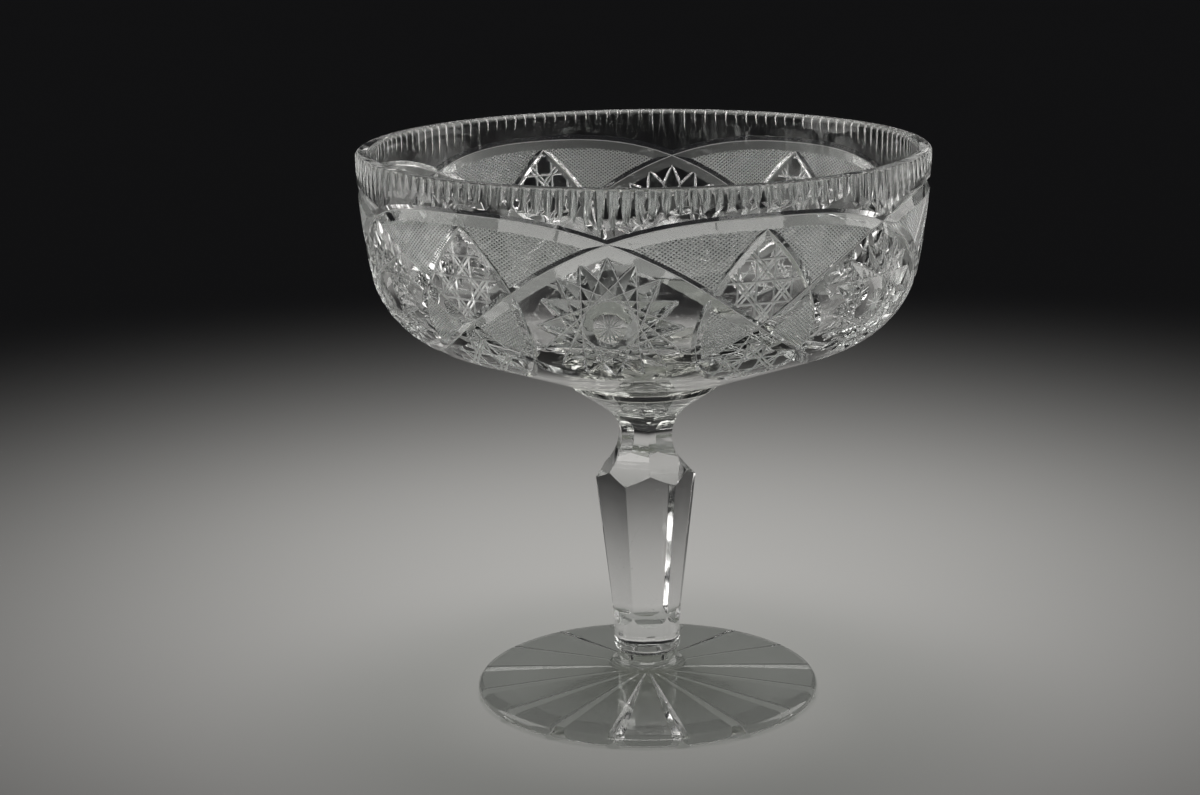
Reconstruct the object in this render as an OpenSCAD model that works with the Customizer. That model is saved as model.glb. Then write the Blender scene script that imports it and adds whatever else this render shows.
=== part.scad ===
// Footed fruit bowl in clear cut crystal: a bowl, a six-sided stem and a foot, bonded on ground faces.
// Millimetres, +Z up, with the origin on the surface that it stands on, under the middle of the foot.
// The front is towards -Y.

/* [Bowl] */
// Diameter of the bowl at its rim
bowl_d = 210; // [170:1:250]
// Height of the bowl from its seat to its rim
bowl_h = 88.5; // [75:0.5:105]
// Thickness of the wall at the rim
rim_wall = 6; // [4.5:0.5:8]
// Thickness of the sloping part of the floor
floor_wall = 9; // [7:0.5:12]
// Lean of the wall from upright at the rim, in degrees
rim_lean = 1; // [0:0.5:3]
// Radius of the long curve of the wall
wall_r = 262; // [230:1:300]
// Radius of the turn between the wall and the floor
turn_r = 35; // [28:1:42]
// Slope of the floor, in degrees
floor_slope = 19.6; // [15:0.2:24]
// Diameter at which the floor inside turns into a shallow dish
dish_d = 80; // [60:1:100]
// Rounding of the lip
lip_r = 1.8; // [0.6:0.1:2.2]

/* [Cutting] */
// Number of repeats of the cut pattern round the bowl
repeat_count = 6; // [5:1:7]
// Turn of the pattern about the axis, in degrees
bowl_turn = -6.7; // [-30:0.1:30]
// Number of flutes round the rim
flute_count = 150; // [100:1:170]
// Width of the plain glass between two flutes
flute_land = 0.13; // [0.05:0.01:0.5]
// Depth of a flute at the lip
flute_depth = 1.1; // [0.5:0.1:1.5]
// Distance from a flute's point to the arch below it
flute_gap = 4.2; // [3.6:0.1:6]
// Distance down the wall from the rim to an arch's crown
arch_drop = 11.3; // [10:0.1:14]
// Distance down the wall from an arch's crown to its ends
arch_fall = 66; // [55:1:70]
// Width of an arch's groove above its root
arch_upper_w = 1.9; // [1.5:0.1:3]
// Width of an arch's groove below its root
arch_lower_w = 4; // [3:0.1:6]
// Depth of an arch's groove
arch_depth = 1.6; // [1:0.1:2.5]
// Distance down the wall from the rim to a leaf's upper point
leaf_drop = 15.2; // [13:0.1:20]
// Length of a leaf down the wall
leaf_len = 74; // [60:1:80]
// Width of a leaf
leaf_w = 44.6; // [36:0.2:50]
// Width of a leaf's groove
leaf_groove_w = 3.6; // [2:0.1:5]
// Depth of a leaf's groove
leaf_depth = 1.3; // [0.8:0.1:2]
// Distance down the wall from the rim to a star's middle
star_drop = 48; // [44:0.5:52]
// Diameter of a star
star_d = 50.4; // [44:0.2:54]
// Number of points of a star
star_points = 16; // [14:1:20]
// Number of steps from the point where a star's line starts to the point where it ends
star_skip = 6; // [4:2:6]
// Width of a star's line towards the star's middle
star_inner_w = 4.4; // [3:0.1:5]
// Width of a star's line on its other side
star_outer_w = 0.8; // [0.5:0.1:1.2]
// Depth of a star's line
star_depth = 1.3; // [0.8:0.1:1.6]

/* [Stem] */
// Height of the stem between its two ground faces
stem_h = 107; // [95:1:120]
// Diameter of the flange under the bowl
flange_d = 54; // [48:1:60]
// Thickness of the flange at its edge
flange_edge = 1.5; // [1:0.1:3]
// Width of the neck across two opposite facets
neck_w = 18.8; // [16:0.2:22]
// Depth of the neck's narrowest point under the stem's top
neck_drop = 19.4; // [17:0.2:22]
// Radius of the turned hollow between the neck and the flange
hollow_r = 13.5; // [11.5:0.5:15]
// Radius of a neck facet above the neck's narrowest point
facet_upper_r = 12; // [10.5:0.5:13]
// Radius of a neck facet below the neck's narrowest point
facet_lower_r = 20; // [17:0.5:24]
// Width of the six-sided shaft across two opposite edges, at its shoulder
shoulder_w = 38; // [34:0.5:44]
// Depth of the shoulder under the stem's top
shoulder_drop = 36; // [33:0.5:40]
// How far the shaft's edges are eased
edge_ease = 0.1; // [0.05:0.05:0.5]
// Diameter of the round collar at the shaft's lower end
collar_d = 25; // [23:0.5:30]
// Height of the collar's upper edge above the stem's lower face
collar_top = 14; // [11:0.5:18]
// Rounding of the collar's lower edge
collar_round = 3; // [1:0.5:4]
// Diameter of the ground ring that stands on the foot
ring_d = 21; // [18:0.5:24]
// Height of that ring
ring_h = 2; // [1:0.25:3]
// Radius of the scoop at the lower end of each shaft face
scoop_r = 7; // [4:0.5:9]
// Turn of the stem's faces about the axis, in degrees
stem_turn = 6; // [-30:1:30]

/* [Foot] */
// Diameter of the foot
foot_d = 130; // [110:1:150]
// Height of the foot at its middle boss
foot_h = 14; // [11:0.5:18]
// Thickness of the foot at its edge
foot_edge = 5; // [4:0.5:7]
// Height of the boss above the foot's upper face
boss_rise = 2.5; // [1:0.25:4]
// Distance from the stem's ring to the edge of the boss
boss_lip = 0.6; // [0.2:0.1:2]
// Radius of the blend between the foot's upper face and its boss
boss_blend = 5; // [2:0.5:7]
// Number of rays cut under the foot
ray_count = 16; // [8:1:24]
// Depth of a ray at the foot's edge
ray_depth = 2.2; // [1:0.1:3]
// Width of a ray at the foot's edge
ray_w = 6.6; // [4:0.2:8]
// Distance from the axis at which the rays start
ray_start = 5; // [3:0.5:10]

/* [Bonds] */
// Thickness of a bond film
bond_t = 0.25; // [0.1:0.05:0.5]
// Distance of a film's edge from the edge of the faces that it joins
bond_inset = 0.4; // [0:0.1:1]

/* [Hidden] */
$fn = 144;
glass_tone = [0.86, 0.89, 0.91, 0.55];
bond_tone = [0.93, 0.94, 0.92, 0.7];
arc_steps = 12;
// How far a cutting tool reaches past the glass
past = 3;
// A tool's width that passes right through the stem
tool_w = 2 * flange_d;

stem_z = foot_h + bond_t;
stem_top = stem_z + stem_h;
bowl_z = stem_top + bond_t;
rim_z = bowl_z + bowl_h;

// Bowl: the wall's curve, the turn and the sloping floor run into each other down to the seat
rim_r = bowl_d / 2;
seat_r = flange_d / 2;
wall_c = [rim_r - wall_r * cos(rim_lean), rim_z + wall_r * sin(rim_lean)];
floor_normal = [sin(floor_slope), -cos(floor_slope)];
seat_reach = ([seat_r, bowl_z] - wall_c) * floor_normal;
turn_from = asin((seat_reach - turn_r) / (wall_r - turn_r)) - floor_slope;
turn_to = 90 - floor_slope;
turn_c = wall_c + (wall_r - turn_r) * [cos(turn_from), -sin(turn_from)];
// The inside has the rim's wall at the top and the floor's wall at the bottom
turn_share = cos(turn_to - turn_from);
inner_turn_r = turn_r - (floor_wall - rim_wall * turn_share) / (1 - turn_share);
inner_wall_r = wall_r - rim_wall;
inner_turn_c = wall_c + (inner_wall_r - inner_turn_r) * [cos(turn_from), -sin(turn_from)];
inner_turn_end = inner_turn_c + inner_turn_r * [cos(turn_to), -sin(turn_to)];
dish_edge_z = inner_turn_end[1] - (inner_turn_end[0] - dish_d / 2) * tan(floor_slope);
dish_r = dish_d / 2 / sin(floor_slope);
dish_c = [0, dish_edge_z + dish_r * cos(floor_slope)];

// Points on an arc, by angle from the +X side, anticlockwise positive
function arc(c, r, from, to, n = arc_steps) =
    [for (i = [0:n]) let (a = from + (to - from) * i / n) c + r * [cos(a), sin(a)]];

module bowl_section() {
    lip_steps = 2;
    wall_steps = 6;
    lip = [
        arc([rim_r - rim_wall + lip_r, rim_z - lip_r], lip_r, 180, 90, lip_steps),
        arc([rim_r - lip_r, rim_z - lip_r], lip_r, 90, 0, lip_steps)
    ];
    wall = arc(wall_c, wall_r, -rim_lean - 180 / PI * lip_r / wall_r, -turn_from, wall_steps);
    turn = arc(turn_c, turn_r, -turn_from, -turn_to);
    inner_turn = arc(inner_turn_c, inner_turn_r, -turn_to, -turn_from);
    inner_top = -rim_lean - 180 / PI * lip_r / inner_wall_r;
    inner_wall = arc(wall_c, inner_wall_r, -turn_from, inner_top, wall_steps);
    dish = arc(dish_c, dish_r, -90, floor_slope - 90);
    polygon(concat(
        lip[0], lip[1], wall, [for (i = [1:arc_steps]) turn[i]],
        [[seat_r, bowl_z], [0, bowl_z]],
        dish, inner_turn, [for (i = [1:wall_steps]) inner_wall[i]]
    ));
}

// Places on the outside of the bowl are an angle from the front and a distance down the wall from the rim
wall_arc = PI / 180 * wall_r * (turn_from - rim_lean);
turn_arc = PI / 180 * turn_r * (turn_to - turn_from);
turn_end = turn_c + turn_r * [cos(turn_to), -sin(turn_to)];
function skin_lean(s) =
    s < wall_arc ? rim_lean + 180 / PI * s / wall_r
    : s < wall_arc + turn_arc ? turn_from + 180 / PI * (s - wall_arc) / turn_r
    : turn_to;
function skin(s) =
    let (a = skin_lean(s))
    s < wall_arc ? wall_c + wall_r * [cos(a), -sin(a)]
    : s < wall_arc + turn_arc ? turn_c + turn_r * [cos(a), -sin(a)]
    : turn_end - (s - wall_arc - turn_arc) * [sin(a), cos(a)];
function on_bowl(place, lift = 0) =
    let (a = skin_lean(place[1]), p = skin(place[1]) + lift * [cos(a), -sin(a)])
    [p[0] * sin(place[0]), -p[0] * cos(place[0]), p[1]];
// A place from its distance to the side of the front, measured on the glass
function beside(x, s) = [180 / PI * x / skin(s)[0], s];

// The arches interlace: each reaches one and a half repeats to both sides, and falls between gentle ends
repeat_angle = 360 / repeat_count;
arch_repeats = 1.5;
arch_reach = arch_repeats * repeat_angle;
arch_steps = 28;
arch_power = 1.35;
arch_bend = 174;
function arch_s(angle) =
    arch_drop + arch_fall / 2 * (1 - cos(arch_bend * pow(abs(angle) / arch_reach, arch_power)));
arch_path = [for (i = [0:arch_steps]) let (a = arch_reach * (2 * i / arch_steps - 1)) [a, arch_s(a)]];

// A leaf, a pointed oval, stands under each arch's crown
leaf_steps = 8;
leaf_power = 1.8;
function leaf_path(side) = [
    for (i = [0:leaf_steps])
        let (t = i / leaf_steps, x = leaf_w / 2 * (1 - pow(abs(2 * t - 1), leaf_power)))
        beside(side * x, leaf_drop + t * leaf_len)
];

// How far a groove's tool stands clear of the glass, and the share of its depth that is left at its ends
groove_clear = 1;
run_out = 0.3;

// A groove's section at one place of its path: a root in the glass and two edges clear of it
function groove_ring(path, i, w, depth) =
    let (
        n = len(path) - 1,
        size = i == 0 || i == n ? run_out : 1,
        p = on_bowl(path[i]),
        normal = on_bowl(path[i], 1) - p,
        along = on_bowl(path[min(i + 1, n)]) - on_bowl(path[max(i - 1, 0)]),
        side = cross(along, normal) / norm(along),
        reach = size + groove_clear / depth,
        edge = p + groove_clear * normal
    )
    [p - size * depth * normal, edge - reach * w[0] * side, edge + reach * w[1] * side];

// A groove along a path on the bowl, with a width to each side of its root, which runs out at both ends
module groove(path, w, depth) {
    n = len(path) - 1;
    flanks = [
        for (i = [0:n - 1], k = [0:2])
            let (a = 3 * i + k, b = 3 * i + (k + 1) % 3)
            each [[a, b + 3, b], [a, a + 3, b + 3]]
    ];
    ends = [[0, 1, 2], [3 * n + 2, 3 * n + 1, 3 * n]];
    points = [for (i = [0:n]) each groove_ring(path, i, w, depth)];
    polyhedron(points = points, faces = concat(flanks, ends));
}

// A star stands between two leaves: its lines run straight from point to point and cross on rings
star_step = 360 / star_points;
star_near = star_d / 2 * cos(star_skip * star_step / 2);
function star_cos(k) = cos(k * star_step / 2);
// Between a crossing and the next but one outside it stands a crest, where steep sides meet gentle ones
function crest_r(k) =
    let (steep = 1 / star_outer_w, gentle = 1 / star_inner_w)
    star_near * (steep + gentle) / (star_cos(k) * steep + star_cos(k + 2) * gentle);
function crest_depth(k) = star_depth * (1 - (star_near - crest_r(k) * star_cos(k + 2)) / star_inner_w);
// A ring of places round a star's middle, which starts on a point or half a step past it
function star_ring(r, depth, half) = [
    for (i = [0:star_points - 1])
        let (turn = (i + half / 2) * star_step)
        on_bowl(beside(r * sin(turn), star_drop + r * cos(turn)), -depth)
];

module star() {
    hob_lift = groove_clear / 2;
    hob_least = star_near / 8;
    hob_r = max(hob_least, star_near - star_inner_w * (1 + hob_lift / star_depth));
    notch_r = (star_near + star_outer_w * (1 + groove_clear / star_depth)) / star_cos(star_skip - 1);
    crossings = [
        for (k = [1:star_skip])
            star_ring(star_near / star_cos(k), star_depth * (k < star_skip ? 1 : run_out), k % 2)
    ];
    crests = [for (k = [0:star_skip - 2]) star_ring(crest_r(k), crest_depth(k), k % 2)];
    rings = concat(
        [star_ring(hob_r, -hob_lift, 1)], crossings, crests,
        [star_ring(notch_r, -groove_clear, 1), star_ring(star_d / 2 + star_outer_w, -groove_clear, 0)],
        [star_ring(star_near / star_cos(star_skip - 2), -2 * groove_clear, 1)]
    );
    notch = 2 * star_skip;
    top = notch + 2;
    function at(ring, i) = ring * star_points + (i + star_points) % star_points;
    cells = [
        for (i = [0:star_points - 1], k = [0:star_skip - 2])
            let (
                crest = at(star_skip + 1 + k, i),
                inner = at(k, i),
                outer = at(k + 2, i),
                ahead = at(k + 1, i + k % 2),
                behind = at(k + 1, i + k % 2 - 1)
            )
            each concat(
                [[crest, outer, ahead], [crest, behind, outer]],
                k == 0 ? [[crest, ahead, behind]] : [[crest, ahead, inner], [crest, inner, behind]]
            )
    ];
    rims = [
        for (i = [0:star_points - 1])
            let (
                hob = [at(0, i), at(0, i + 1)],
                ring = [at(1, i), at(1, i + 1)],
                root = at(star_skip - 1, i),
                tip = [at(star_skip, i), at(star_skip, i + 1)],
                edge = at(notch, i),
                past_tip = [at(notch + 1, i), at(notch + 1, i + 1)],
                lid = [at(top, i), at(top, i + 1)]
            )
            each [
                [hob[0], ring[0], ring[1]], [hob[0], ring[1], hob[1]],
                [root, edge, past_tip[1]], [root, past_tip[1], tip[1]],
                [tip[0], past_tip[0], edge], [tip[0], edge, root],
                [edge, past_tip[0], lid[0]], [edge, lid[0], past_tip[1]], [past_tip[1], lid[0], lid[1]],
                [lid[0], hob[0], hob[1]], [lid[0], hob[1], lid[1]]
            ]
    ];
    polyhedron(points = [for (ring = rings) each ring], faces = concat(cells, rims));
}

module repeat_grooves() {
    rotate([0, 0, repeat_angle / 2]) {
        groove(arch_path, [arch_upper_w, arch_lower_w], arch_depth);
        for (side = [-1, 1])
            groove(leaf_path(side), [leaf_groove_w, leaf_groove_w] / 2, leaf_depth);
    }
    star();
}

// All the grooves, joined into one tool at their own size
module cut_pattern() {
    resize([0, 0, 0])
        for (i = [0:repeat_count - 1])
            rotate([0, 0, bowl_turn + i * repeat_angle]) repeat_grooves();
}

// Flutes: round wheel cuts that are deepest at the lip and run out above the arches
flute_angle = 360 / flute_count;
flute_w = 2 * PI * rim_r / flute_count - flute_land;
flute_r = (pow(flute_w, 2) / 4 + pow(flute_depth, 2)) / 2 / flute_depth;
// Angle from the nearest crown, for an angle from a star's middle
function from_crown(angle) = angle - (floor(angle / repeat_angle) + 0.5) * repeat_angle;

module flute_tool(angle) {
    top = [rim_r - flute_depth, rim_z];
    tip = skin(arch_s(from_crown(angle)) - flute_gap);
    along = (tip - top) / norm(tip - top);
    start = top + flute_r * [-along[1], along[0]] - past * along;
    rotate([0, 0, angle - 90])
        translate([start[0], 0, start[1]])
            rotate([0, atan2(along[0], along[1]), 0])
                cylinder(h = norm(tip - top) + 2 * past, r = flute_r);
}

module rim_flutes() {
    for (i = [0:flute_count - 1])
        rotate([0, 0, bowl_turn]) flute_tool((i + 0.5) * flute_angle);
}

module bowl() {
    color(glass_tone) difference() {
        rotate_extrude() bowl_section();
        rim_flutes();
        cut_pattern();
    }
}

module bond_film(d, z) {
    color(bond_tone) translate([0, 0, z]) cylinder(h = bond_t, d = d - 2 * bond_inset);
}

module bowl_cement() {
    bond_film(flange_d, stem_top);
}

module foot_cement() {
    bond_film(ring_d, foot_h);
}

// Stem: a turned body, then six tapering shaft faces and six hollow neck facets between them
side_count = 6;
side_angle = 360 / side_count;
// Distance of a flat from the axis, as a share of its edges' distance
flat_share = cos(side_angle / 2);
neck_z = stem_top - neck_drop;
neck_in = neck_w / 2;
neck_r = neck_in / flat_share + edge_ease;
hollow_c = [neck_r + hollow_r, neck_z];
flange_corner = [seat_r, stem_top - flange_edge];
flange_reach = flange_corner - hollow_c;
flange_from = atan2(flange_reach[1], flange_reach[0]) + acos(hollow_r / norm(flange_reach));
shoulder_z = stem_top - shoulder_drop;
collar_r = collar_d / 2;
collar_z = stem_z + collar_top;
shaft_taper = atan((shoulder_w / 2 - collar_r) * flat_share / (shoulder_z - collar_z));
scoop_depth = collar_r * (1 - flat_share);
scoop_rise = sqrt(pow(scoop_r, 2) - pow(scoop_r - scoop_depth, 2));

module stem_section() {
    collar_c = [collar_r - collar_round, stem_z + ring_h + collar_round];
    polygon(concat(
        [[0, stem_z], [ring_d / 2, stem_z], [ring_d / 2, stem_z + ring_h]],
        arc(collar_c, collar_round, -90, 0, 6),
        [[collar_r, collar_z], [shoulder_w / 2 - edge_ease, shoulder_z]],
        arc(hollow_c, hollow_r, 180, flange_from),
        [flange_corner, [seat_r, stem_top], [0, stem_top]]
    ));
}

// A tool on each side of the stem, from its outline in the plane of the axis
module side_tools(first) {
    for (i = [0:side_count - 1])
        rotate([90, 0, first + i * side_angle])
            linear_extrude(height = tool_w, center = true)
                children();
}

module neck_tool() {
    translate([neck_in, neck_z]) {
        intersection() {
            translate([facet_upper_r, 0]) circle(facet_upper_r);
            square([2 * facet_upper_r, facet_upper_r + past]);
        }
        intersection() {
            translate([facet_lower_r, 0]) circle(facet_lower_r);
            translate([0, -facet_lower_r - past]) square([2 * facet_lower_r, facet_lower_r + past]);
        }
    }
}

module shaft_tool() {
    lift = collar_z + scoop_rise;
    translate([collar_r * flat_share + scoop_rise * tan(shaft_taper), lift]) rotate(-shaft_taper) {
        square([tool_w / 2, neck_z - lift]);
        translate([scoop_r, 0]) circle(scoop_r);
    }
}

module stem() {
    color(glass_tone) rotate([0, 0, stem_turn - 90]) difference() {
        rotate_extrude() stem_section();
        side_tools(side_angle / 2) neck_tool();
        side_tools(0) shaft_tool();
    }
}

// Foot: a turned disc with a boss for the stem, and rays cut under it that deepen towards its edge
foot_r = foot_d / 2;
edge_r = foot_edge / 2;
boss_r = ring_d / 2 + boss_lip;
face_slope = atan((foot_h - boss_rise - foot_edge) / (foot_r - edge_r - boss_r));
blend_c = [
    boss_r + boss_blend,
    foot_h - boss_rise - boss_blend * tan(face_slope) + boss_blend / cos(face_slope)
];
blend_to = 180 + asin(max(0, blend_c[1] - foot_h) / boss_blend);
ray_rise = atan(ray_depth / (foot_r - ray_start));
ray_angle = 360 / ray_count;

module foot_section() {
    polygon(concat(
        [[0, 0]],
        arc([foot_r - edge_r, edge_r], edge_r, -90, 90 - face_slope),
        arc(blend_c, boss_blend, 270 - face_slope, blend_to, 6),
        [[blend_c[0] + boss_blend * cos(blend_to), foot_h], [0, foot_h]]
    ));
}

module ray_tool() {
    low = -ray_depth - past;
    half = ray_w / 2 * (1 + past / ray_depth);
    translate([ray_start, 0, 0]) rotate([90, 0, 90]) rotate([-ray_rise, 0, 0])
        linear_extrude(height = foot_r)
            polygon([[0, 0], [-half, low], [half, low]]);
}

module foot() {
    color(glass_tone) difference() {
        rotate_extrude() foot_section();
        for (i = [0:ray_count - 1])
            rotate([0, 0, (i + 0.5) * ray_angle - 90]) ray_tool();
    }
}

bowl();
bowl_cement();
stem();
foot_cement();
foot();
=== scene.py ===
import math

import bmesh
import bpy
import numpy as np
from bpy.props import FloatProperty, FloatVectorProperty, IntProperty, PointerProperty
from mathutils import Matrix, Vector


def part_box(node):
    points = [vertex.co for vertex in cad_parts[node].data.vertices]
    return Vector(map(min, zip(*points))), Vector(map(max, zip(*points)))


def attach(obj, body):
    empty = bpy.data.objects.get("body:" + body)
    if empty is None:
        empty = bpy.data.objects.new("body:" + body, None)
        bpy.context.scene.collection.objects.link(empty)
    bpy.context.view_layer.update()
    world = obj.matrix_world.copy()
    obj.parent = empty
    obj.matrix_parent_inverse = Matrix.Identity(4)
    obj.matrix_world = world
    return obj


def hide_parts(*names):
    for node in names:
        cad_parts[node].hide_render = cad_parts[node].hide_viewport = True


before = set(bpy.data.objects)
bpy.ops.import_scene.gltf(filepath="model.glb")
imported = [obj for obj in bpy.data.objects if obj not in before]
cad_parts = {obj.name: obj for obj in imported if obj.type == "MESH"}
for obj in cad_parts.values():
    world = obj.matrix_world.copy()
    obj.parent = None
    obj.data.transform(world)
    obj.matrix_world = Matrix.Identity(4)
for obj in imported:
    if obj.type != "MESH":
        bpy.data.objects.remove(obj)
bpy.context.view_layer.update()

bl_info = {
    "name": "Cut-Crystal Footed Bowl",
    "version": (1, 0, 0),
    "blender": (4, 5, 0),
    "location": "View3D > Sidebar > Crystal",
    "description": "Makes a footed fruit bowl in clear cut crystal, with its stage",
    "category": "Object",
}

MM = 0.001
BOWL_LOW, BOWL_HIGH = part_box("bowl")
STEM_LOW, STEM_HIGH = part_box("stem")
FOOT_LOW, FOOT_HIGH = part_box("foot")


# Settings that a user would change


def setting(kind, name, text, default, **more):
    return kind(name=name, description=text, default=default, **more)


def length(name, text, millimetres):
    return setting(FloatProperty, name, text, millimetres * MM, unit="LENGTH", precision=5)


def angle(name, text, degrees):
    return setting(FloatProperty, name, text, math.radians(degrees), subtype="ANGLE")


def count(name, text, whole):
    return setting(IntProperty, name, text, whole, min=1)


def share(name, text, part):
    return setting(FloatProperty, name, text, part, min=0.0, max=1.0, subtype="FACTOR")


def number(name, text, value, unit="NONE"):
    return setting(FloatProperty, name, text, value, min=0.0, unit=unit)


def colour(name, text, *parts):
    return setting(FloatVectorProperty, name, text, parts, subtype="COLOR", min=0.0, max=1.0)


class BowlSizes(bpy.types.PropertyGroup):
    """The turned form of the bowl; its rim, height and seat come from the frame"""

    rim_wall: length("Rim wall", "Thickness of the wall at the rim", 6)
    floor_wall: length("Floor wall", "Thickness of the sloping floor", 9)
    rim_lean: angle("Rim lean", "Lean of the wall at the rim", 1)
    wall_r: length("Wall curve", "Radius of the long curve of the wall", 262)
    turn_r: length("Turn", "Radius between the wall and the floor", 35)
    floor_slope: angle("Floor slope", "Slope of the floor", 19.6)
    dish_d: length("Dish", "Diameter of the shallow dish inside", 80)
    lip_r: length("Lip", "Rounding of the lip", 1.8)
    sides: count("Sides", "Faces round the bowl", 168)


class CutSizes(bpy.types.PropertyGroup):
    """The wheel cuts on the outside of the bowl; drops are measured down the wall from the rim"""

    repeats: count("Repeats", "Repeats of the pattern round the bowl", 6)
    turn: angle("Turn", "Turn of the pattern about the axis", -6.7)
    flutes: count("Flutes", "Flutes round the rim", 150)
    flute_depth: length("Flute depth", "Depth of a flute at the lip", 1.1)
    flute_gap: length("Flute gap", "Gap between a flute and the arch below it", 4.2)
    arch_drop: length("Arch drop", "Drop of an arch's crown", 11.3)
    arch_fall: length("Arch fall", "Fall of an arch from its crown to its ends", 66)
    arch_upper: length("Arch upper flank", "Width of an arch groove above its root", 1.9)
    arch_lower: length("Arch lower flank", "Width of an arch groove below its root", 4)
    arch_depth: length("Arch depth", "Depth of an arch groove", 1.6)
    leaf_drop: length("Leaf drop", "Drop of a leaf's upper point", 15.2)
    leaf_len: length("Leaf length", "Length of a leaf down the wall", 74)
    leaf_w: length("Leaf width", "Width of a leaf", 44.6)
    leaf_groove: length("Leaf groove", "Width of a leaf's groove", 3.6)
    leaf_depth: length("Leaf depth", "Depth of a leaf's groove", 1.3)
    root_line: length("Root line", "Width of the unpolished line along a groove's root", 0.34)
    star_drop: length("Star drop", "Drop of a star's middle", 48)
    star_d: length("Star", "Diameter of a star", 50.4)
    star_points: count("Star points", "Points of a star", 16)
    star_skip: count("Star skip", "Points from one end of a star's line to the other", 6)
    star_inner: length("Star inner flank", "Width of a star's line towards the middle", 4.4)
    star_outer: length("Star outer flank", "Width of a star's line on its other side", 0.8)
    star_depth: length("Star depth", "Depth of a star's line", 1.3)
    hob_face: length("Hob face", "Radius of the face in a star's middle", 5.3)
    hob_ray: length("Hob ray", "Width of a ray on that face", 0.9)
    hob_depth: length("Hob depth", "Depth of a ray on that face", 0.42)
    hatch_pitch: length("Hatch pitch", "Distance between the hatch's lines", 1.1)
    hatch_line: length("Hatch line", "Width of a hatch line", 0.55)
    hatch_depth: length("Hatch depth", "Depth of a hatch line", 0.24)
    hatch_land: length("Hatch land", "Depth of the lands between those lines", 0.06)
    hatch_rise: angle("Hatch rise", "Rise of the first lines away from a leaf", 31)
    hatch_fall: angle("Hatch fall", "Fall of the second lines away from a leaf", 41)
    cane_drop: length("Cane drop", "Drop of the cane pattern's middle", 36.9)
    cane_across: length("Cane across", "Distance between the cane's columns of buttons", 6.65)
    cane_down: length("Cane down", "Distance between the cane's rows of buttons", 7.8)
    cane_pair: length("Cane pair", "Distance between the two lines of a pair", 1.4)
    cane_line: length("Cane line", "Width of a cane line", 0.9)
    cane_depth: length("Cane depth", "Depth of a cane line", 0.4)


class StemSizes(bpy.types.PropertyGroup):
    """The six-sided stem; its height and flange come from the frame"""

    flange_edge: length("Flange edge", "Thickness of the flange at its edge", 1.5)
    neck_w: length("Neck", "Width of the neck across its facets", 18.8)
    neck_drop: length("Neck drop", "Depth of the neck under the stem's top", 19.4)
    hollow_r: length("Hollow", "Radius between the neck and the flange", 13.5)
    facet_upper_r: length("Upper facet", "Radius of a facet above the neck", 12)
    facet_lower_r: length("Lower facet", "Radius of a facet below the neck", 20)
    shoulder_w: length("Shoulder", "Width of the shoulder across its edges", 38)
    shoulder_drop: length("Shoulder drop", "Depth of the shoulder under the stem's top", 36)
    edge_ease: length("Eased edge", "How far the shaft's edges are eased", 0.1)
    collar_d: length("Collar", "Diameter of the collar under the shaft", 25)
    collar_top: length("Collar top", "Height of the collar above the stem's end", 14)
    collar_round: length("Collar round", "Rounding of the collar's lower edge", 3)
    ring_d: length("Ring", "Diameter of the ring on the foot", 21)
    ring_h: length("Ring height", "Height of that ring", 2)
    scoop_r: length("Scoop", "Radius of the scoop under a shaft face", 7)
    turn: angle("Turn", "Turn of the stem's faces about the axis", 6)
    seeds: count("Seeds", "Tiny air bubbles in the shaft", 34)
    seed_d: length("Seed", "Diameter of the largest bubble", 0.55)
    sides: count("Sides", "Faces round the turned parts", 144)


class FootSizes(bpy.types.PropertyGroup):
    """The rayed foot; its diameter and height come from the frame"""

    edge: length("Edge", "Thickness of the foot at its edge", 5)
    boss_rise: length("Boss rise", "Height of the boss above the foot", 2.5)
    boss_lip: length("Boss lip", "Width of the boss outside the stem's ring", 0.6)
    boss_blend: length("Boss blend", "Radius of the blend into the boss", 5)
    rays: count("Rays", "Rays under the foot", 16)
    ray_depth: length("Ray depth", "Depth of a ray at the foot's edge", 2.2)
    ray_w: length("Ray width", "Width of a ray at the foot's edge", 6.6)
    ray_root: length("Ray root", "Width of the unpolished line along a ray's root", 0.5)
    ray_start: length("Ray start", "Distance of the rays' start from the axis", 5)
    sides: count("Sides", "Faces round the foot", 192)


class GlassFinish(bpy.types.PropertyGroup):
    """The look of the crystal and of the bond"""

    ior: number("Refraction", "Index of refraction of the crystal", 1.545)
    tint: colour("Tint", "Colour of the crystal's surface", 0.99, 0.99, 0.99)
    depth_tint: colour("Depth tint", "Colour that thick crystal takes", 0.77, 0.79, 0.78)
    depth_density: number("Depth density", "Strength of that colour, per metre of crystal", 1.0)
    cut_roughness: share("Cut roughness", "Roughness of the polished cuts", 0.03)
    line_roughness: share("Line roughness", "Roughness of the fine lines and the roots", 0.3)
    body_roughness: share("Body roughness", "Roughness of the plain surfaces", 0.012)
    waviness: share("Waviness", "Strength of the gentle waves in the plain surfaces", 0.05)
    line_bloom: share("Line bloom", "Share of the fine lines that scatters light", 0.07)
    root_bloom: share("Root bloom", "Share of the grooves' root lines that scatters light", 0.3)
    bond_haze: share("Bond haze", "Share of the bond film that is milky", 0.03)


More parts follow.
